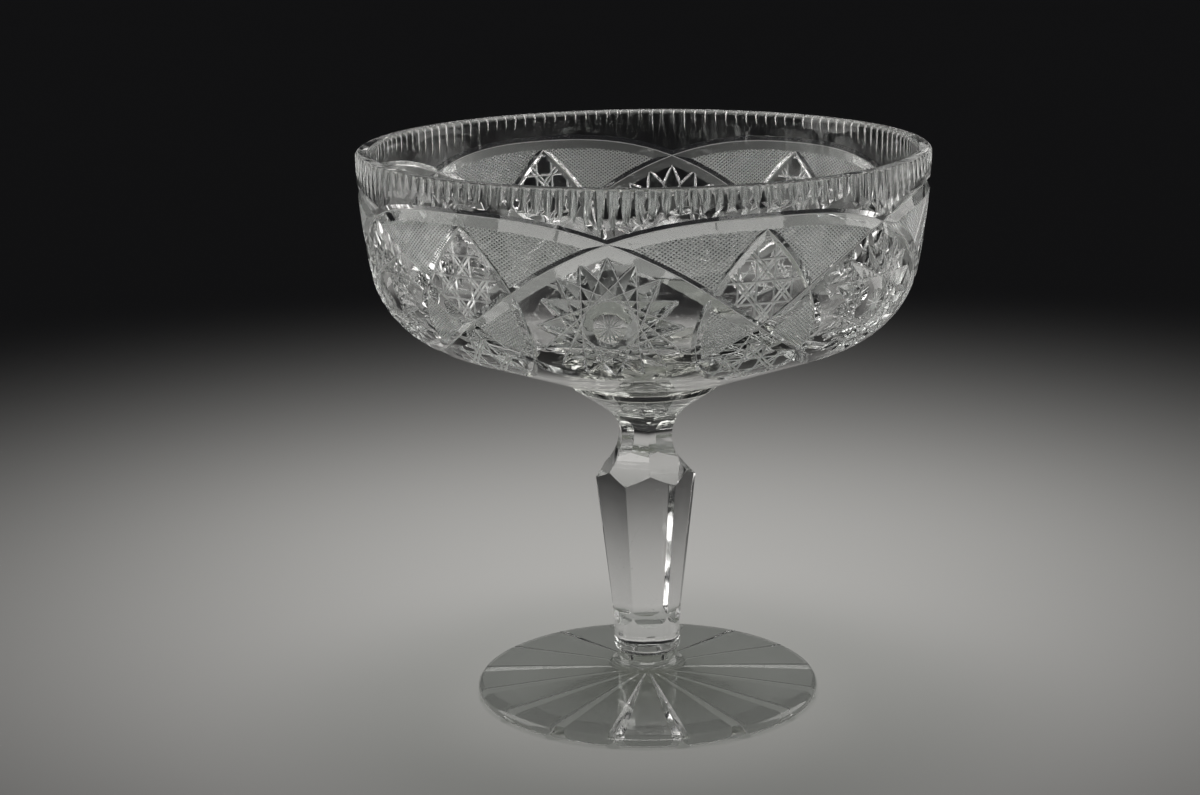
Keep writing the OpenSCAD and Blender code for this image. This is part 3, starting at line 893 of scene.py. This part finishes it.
def neck_outline(sizes):
    """A neck facet: a tight hollow above the narrowest point and a longer one below it"""
    neck_in, neck_z = sizes.neck_w / 2, STEM_HIGH.z - sizes.neck_drop
    upper_r, lower_r, half_turn = sizes.facet_upper_r, sizes.facet_lower_r, math.pi
    upper = arc((neck_in + upper_r, neck_z), upper_r, 0, half_turn, steps=40)
    lower = arc((neck_in + lower_r, neck_z), lower_r, half_turn, 2 * half_turn, steps=48)
    return np.concatenate([upper, lower[1:]])


def shaft_outline(sizes, tool_w):
    """A shaft face: a tapering flat that ends in a scoop above the collar"""
    collar_r, scoop = sizes.collar_d / 2, sizes.scoop_r
    collar_z, shoulder_z = STEM_LOW.z + sizes.collar_top, STEM_HIGH.z - sizes.shoulder_drop
    taper = math.atan((sizes.shoulder_w / 2 - collar_r) * FLAT_SHARE / (shoulder_z - collar_z))
    rise = math.sqrt(scoop ** 2 - (scoop - collar_r * (1 - FLAT_SHARE)) ** 2)
    start = np.array([collar_r * FLAT_SHARE + rise * math.tan(taper), collar_z + rise])
    height = STEM_HIGH.z - sizes.neck_drop - start[1]
    flat = np.concatenate([
        [(0, height)],
        arc((scoop, 0), scoop, math.pi, 2 * math.pi, steps=32),
        [(tool_w, 0), (tool_w, height)],
    ])
    lean = np.array([[math.cos(taper), -math.sin(taper)], [math.sin(taper), math.cos(taper)]])
    return start + flat @ lean


def add_seeds(piece, sizes):
    """Tiny air bubbles in the shaft, strewn by the golden angle, with their faces turned inwards"""
    mesh = bmesh.new()
    mesh.from_mesh(piece.data)
    low, high = STEM_LOW.z + sizes.collar_top, STEM_HIGH.z - sizes.shoulder_drop
    for i in range(sizes.seeds):
        level = (i * LEVEL_STEP) % 1.0
        out = SEED_REACH * math.sqrt((i * OUT_STEP + OUT_START) % 1.0)
        part = SEED_LEAST + (1 - SEED_LEAST) * ((i * SIZE_STEP) % 1.0) ** 3
        radius, turn = sizes.seed_d / 2 * part, i * GOLDEN_ANGLE
        spot = (out * math.cos(turn), out * math.sin(turn), low + level * (high - low))
        at = Matrix.Translation(spot)
        made = bmesh.ops.create_icosphere(mesh, subdivisions=2, radius=radius, matrix=at)
        faces = list({face for vert in made["verts"] for face in vert.link_faces})
        bmesh.ops.reverse_faces(mesh, faces=faces)
    mesh.to_mesh(piece.data)
    mesh.free()


class OBJECT_OT_crystal_stem(bpy.types.Operator):
    """Make the six-sided stem"""

    bl_idname = "object.crystal_stem"
    bl_label = "Six-Sided Stem"

    def execute(self, context):
        sizes = context.scene.crystal.stem
        glass = glass_set(context)
        outline = stem_outline(sizes)
        slots = [1] + [0] * (len(outline) - 3) + [1]
        piece = lathe("six_sided_stem", outline, sizes.sides,
                      [glass["polished_body"], glass["bonded_face"]], slots)
        tool_w = 2 * STEM_HIGH.x
        neck = prism(neck_outline(sizes), tool_w)
        shaft = prism(shaft_outline(sizes, tool_w), tool_w)
        tools = []
        for i in range(6):
            turn = sizes.turn - math.pi / 2 + i * SIXTH
            tools.append(tool([turned(neck, turn + SIXTH / 2)], [glass["polished_cut"]]))
            tools.append(tool([turned(shaft, turn)], [glass["polished_cut"]]))
        cut(piece, tools)
        add_seeds(piece, sizes)
        polish(piece, CRISP_STEM)
        hand_over(piece, "stem")
        return {"FINISHED"}


# The foot

# Rings of the flat base, and how far the ray tools run past the glass
BASE_RINGS = 12
RAY_PAST = 3 * MM


def foot_outline(sizes, boss_r):
    """Outline of the foot from the middle of its base, round its edge and up to its boss"""
    foot_r, foot_h, edge_r = FOOT_HIGH.x, FOOT_HIGH.z, sizes.edge / 2
    slope = math.atan((foot_h - sizes.boss_rise - sizes.edge) / (foot_r - edge_r - boss_r))
    blend = sizes.boss_blend
    blend_r = boss_r + blend
    blend_z = foot_h - sizes.boss_rise - blend * math.tan(slope) + blend / math.cos(slope)
    stop = math.pi + math.asin(max(0, blend_z - foot_h) / blend)
    quarter = math.pi / 2
    edge = arc((foot_r - edge_r, edge_r), edge_r, -quarter, quarter - slope, steps=14)
    curve = arc((blend_r, blend_z), blend, 3 * quarter - slope, stop, steps=12)
    ring_r = boss_r - sizes.boss_lip
    stretches = [
        [(0, 0)],
        np.linspace((sizes.ray_start, 0), edge[0], num=BASE_RINGS),
        edge[1:],
        np.linspace(edge[-1], curve[0], num=12)[1:],
        curve[1:],
        [(blend_r + blend * math.cos(stop), foot_h), (ring_r, foot_h), (0, foot_h)],
    ]
    return np.concatenate(stretches)


def ray(sizes):
    """A tool with a narrow root that rises towards the foot's edge"""
    foot_r, start = FOOT_HIGH.x, sizes.ray_start
    rise = sizes.ray_depth / (foot_r - start)
    deep, narrow = sizes.ray_depth + RAY_PAST, sizes.ray_root / 2
    half = narrow + (sizes.ray_w / 2 - narrow) * deep / sizes.ray_depth
    points = []
    for r in (start, foot_r + 2 * RAY_PAST):
        root = (r - start) * rise
        low = root - deep
        points += [(r, -narrow, root), (r, -half, low), (r, half, low), (r, narrow, root)]
    faces = between(4)
    return points, faces, [0] * (len(faces) - 1) + [1]


class OBJECT_OT_crystal_foot(bpy.types.Operator):
    """Make the rayed foot"""

    bl_idname = "object.crystal_foot"
    bl_label = "Rayed Foot"

    def execute(self, context):
        sizes = context.scene.crystal.foot
        glass = glass_set(context)
        boss_r = context.scene.crystal.stem.ring_d / 2 + sizes.boss_lip
        outline = foot_outline(sizes, boss_r)
        worn = BASE_RINGS + 1
        slots = [1] * worn + [0] * (len(outline) - worn - 2) + [2]
        piece = lathe("rayed_foot", outline, sizes.sides,
                      [glass["polished_body"], glass["worn_base"], glass["bonded_face"]], slots)
        step = 2 * math.pi / sizes.rays
        turns = [(i + 0.5) * step - math.pi / 2 for i in range(sizes.rays)]
        glasses = [glass["polished_cut"], glass["root_line"]]
        cut(piece, [tool([turned(ray(sizes), turn)], glasses) for turn in turns])
        polish(piece, CRISP_CUT)
        hand_over(piece, "foot", LOW_FRONT)
        return {"FINISHED"}


# The bond films

# A film's hollow edge: how far out its middle lies and its radius, in thicknesses, and its angles
HOLLOW_OUT, HOLLOW_R = 0.2, 0.54
HOLLOW_FROM, HOLLOW_TO = math.pi * 1.38, math.pi * 0.62
FILM_SIDES = 96
CRISP_FILM = math.radians(40)


class OBJECT_OT_crystal_bonds(bpy.types.Operator):
    """Make the two clear bond films"""

    bl_idname = "object.crystal_bonds"
    bl_label = "Bond Films"

    def execute(self, context):
        glass = glass_set(context)
        for node in ("bowl_cement", "foot_cement"):
            low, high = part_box(node)
            radius, thick = high.x, high.z - low.z
            middle = (radius + thick * HOLLOW_OUT, (low.z + high.z) / 2)
            hollow = arc(middle, thick * HOLLOW_R, HOLLOW_FROM, HOLLOW_TO, steps=6)
            outline = np.concatenate([[(0, low.z)], hollow, [(0, high.z)]])
            outline[:, 1] = np.clip(outline[:, 1], low.z, high.z)
            slots = [0] * (len(outline) - 1)
            piece = lathe(node + "_film", outline, FILM_SIDES, [glass["bonded_face"]], slots)
            polish(piece, CRISP_FILM)
            hand_over(piece, node)
        return {"FINISHED"}


# The stage

FLOOR_R, FLOOR_SIDES = 6.0, 96
# Clouds in the floor's tone: how many to a metre, and the darkest one's share of the tone
CLOUDS, CLOUD_TONE = 3.0, 0.94
SENSOR_WIDTH = 36.0
# Each lamp: its name, place, aim, width, height, watts, spread in degrees, and what it lights
BOWL_MIDDLE = (0, 0, 0.17)
LAMPS = (
    ("overhead", (0, 0.14, 1.0), (0, 0.14, 0), 0.4, 0.4, 0.9, 50, ABOVE),
    ("front_box", (0, -1.25, 0.86), BOWL_MIDDLE, 1.2, 0.6, 8.0, 180, FRONT),
    ("front_left_box", (-0.9, -1.0, 0.8), BOWL_MIDDLE, 0.75, 0.75, 5.6, 180, FRONT),
    ("front_right_box", (0.9, -1.0, 0.8), BOWL_MIDDLE, 0.75, 0.75, 5.6, 180, FRONT),
    ("foot_box", (0, -1.25, 0.86), BOWL_MIDDLE, 1.4, 0.4, 7.0, 180, LOW_FRONT),
    ("left_strip", (-0.9, 0.1, 0.4), BOWL_MIDDLE, 0.6, 0.8, 2.8, 180, SIDES),
    ("right_strip", (0.9, 0.3, 0.4), BOWL_MIDDLE, 0.6, 0.8, 2.8, 180, SIDES),
)
# How often light may turn inside the glass
BOUNCES = {
    "max_bounces": 28,
    "transmission_bounces": 26,
    "glossy_bounces": 12,
    "transparent_max_bounces": 24,
}


def pale_floor(settings):
    """Plain pale floor with a faint unevenness"""
    n = Nodes("pale_floor")
    pale = (*settings.floor, 1)
    dim = (*(c * CLOUD_TONE for c in settings.floor), 1)
    cloud = n.noise(Scale=CLOUDS, Detail=3.0)
    tone = n.add("ShaderNodeMix", {"A": pale, "B": dim}, {"Factor": cloud}, data_type="RGBA")
    tint = {"Base Color": tone.outputs["Result"]}
    paint = n.add("ShaderNodeBsdfPrincipled", {"Roughness": 0.85}, tint)
    n.add("ShaderNodeOutputMaterial", links={"Surface": paint.outputs["BSDF"]})
    return n.material


def lay_floor(settings):
    """The round floor under the foot"""
    turns = np.linspace(0, 2 * math.pi, FLOOR_SIDES, endpoint=False)
    points = [(FLOOR_R * math.cos(t), FLOOR_R * math.sin(t), 0) for t in turns]
    floor = mesh_object("floor", points, [tuple(range(FLOOR_SIDES))], [pale_floor(settings)])
    lit_group(ABOVE).objects.link(floor)


def soft_lamp(settings, name, at, aim, width, height, watts, spread, group):
    """A soft rectangular lamp that lights the objects of one group"""
    data = bpy.data.lights.new(name, "AREA")
    data.shape = "RECTANGLE"
    data.size, data.size_y = width, height
    data.energy = watts
    data.spread = math.radians(spread)
    data.color = settings.lamp
    lamp = bpy.data.objects.new(name, data)
    lamp.location = at
    lamp.rotation_euler = (Vector(aim) - Vector(at)).to_track_quat("-Z", "Y").to_euler()
    lamp.visible_camera = False
    lamp.light_linking.receiver_collection = lit_group(group)
    bpy.context.scene.collection.objects.link(lamp)


def dim_room(settings):
    """The dim room round the floor"""
    world = bpy.data.worlds.new("dim_room")
    world.use_nodes = True
    world.node_tree.nodes["Background"].inputs["Color"].default_value = (*settings.surround, 1)
    return world


def set_camera(settings):
    """The camera at the photograph's angle"""
    data = bpy.data.cameras.new("camera")
    data.lens = settings.lens
    data.sensor_width = SENSOR_WIDTH
    data.sensor_fit = "HORIZONTAL"
    camera = bpy.data.objects.new("camera", data)
    place = Matrix.Translation((0, -settings.camera_back, settings.camera_up))
    turn = Matrix.Rotation(-settings.yaw, 4, "Z")
    tilt = Matrix.Rotation(math.pi / 2 - settings.pitch, 4, "X")
    roll = Matrix.Rotation(settings.roll, 4, "Z")
    camera.matrix_world = place @ turn @ tilt @ roll
    bpy.context.scene.collection.objects.link(camera)
    return camera


class OBJECT_OT_crystal_stage(bpy.types.Operator):
    """Make the floor, the soft lamps and the camera"""

    bl_idname = "object.crystal_stage"
    bl_label = "Stage"

    def execute(self, context):
        scene, settings = context.scene, context.scene.crystal.stage
        lay_floor(settings)
        for lamp in LAMPS:
            soft_lamp(settings, *lamp)
        scene.world = dim_room(settings)
        scene.camera = set_camera(settings)
        scene.view_settings.view_transform = "Standard"
        for name, times in BOUNCES.items():
            setattr(scene.cycles, name, times)
        scene.cycles.caustics_reflective = False
        scene.cycles.caustics_refractive = False
        return {"FINISHED"}


class VIEW3D_PT_crystal(bpy.types.Panel):
    """Lists the steps that make the bowl"""

    bl_label = "Crystal Bowl"
    bl_space_type = "VIEW_3D"
    bl_region_type = "UI"
    bl_category = "Crystal"

    def draw(self, context):
        for step in STEPS:
            self.layout.operator(step.bl_idname)


STEPS = (
    OBJECT_OT_crystal_stage,
    OBJECT_OT_crystal_bowl,
    OBJECT_OT_crystal_stem,
    OBJECT_OT_crystal_foot,
    OBJECT_OT_crystal_bonds,
)
GROUPS = (BowlSizes, CutSizes, StemSizes, FootSizes, GlassFinish, StageSettings, CrystalSettings)


def register():
    for each in GROUPS + STEPS + (VIEW3D_PT_crystal,):
        bpy.utils.register_class(each)
    bpy.types.Scene.crystal = PointerProperty(type=CrystalSettings)


def unregister():
    del bpy.types.Scene.crystal
    for each in reversed(GROUPS + STEPS + (VIEW3D_PT_crystal,)):
        bpy.utils.unregister_class(each)


def main():
    register()
    bpy.ops.object.crystal_stage()
    bpy.ops.object.crystal_bowl()
    bpy.ops.object.crystal_stem()
    bpy.ops.object.crystal_foot()
    bpy.ops.object.crystal_bonds()


if __name__ == "__main__":
    main()
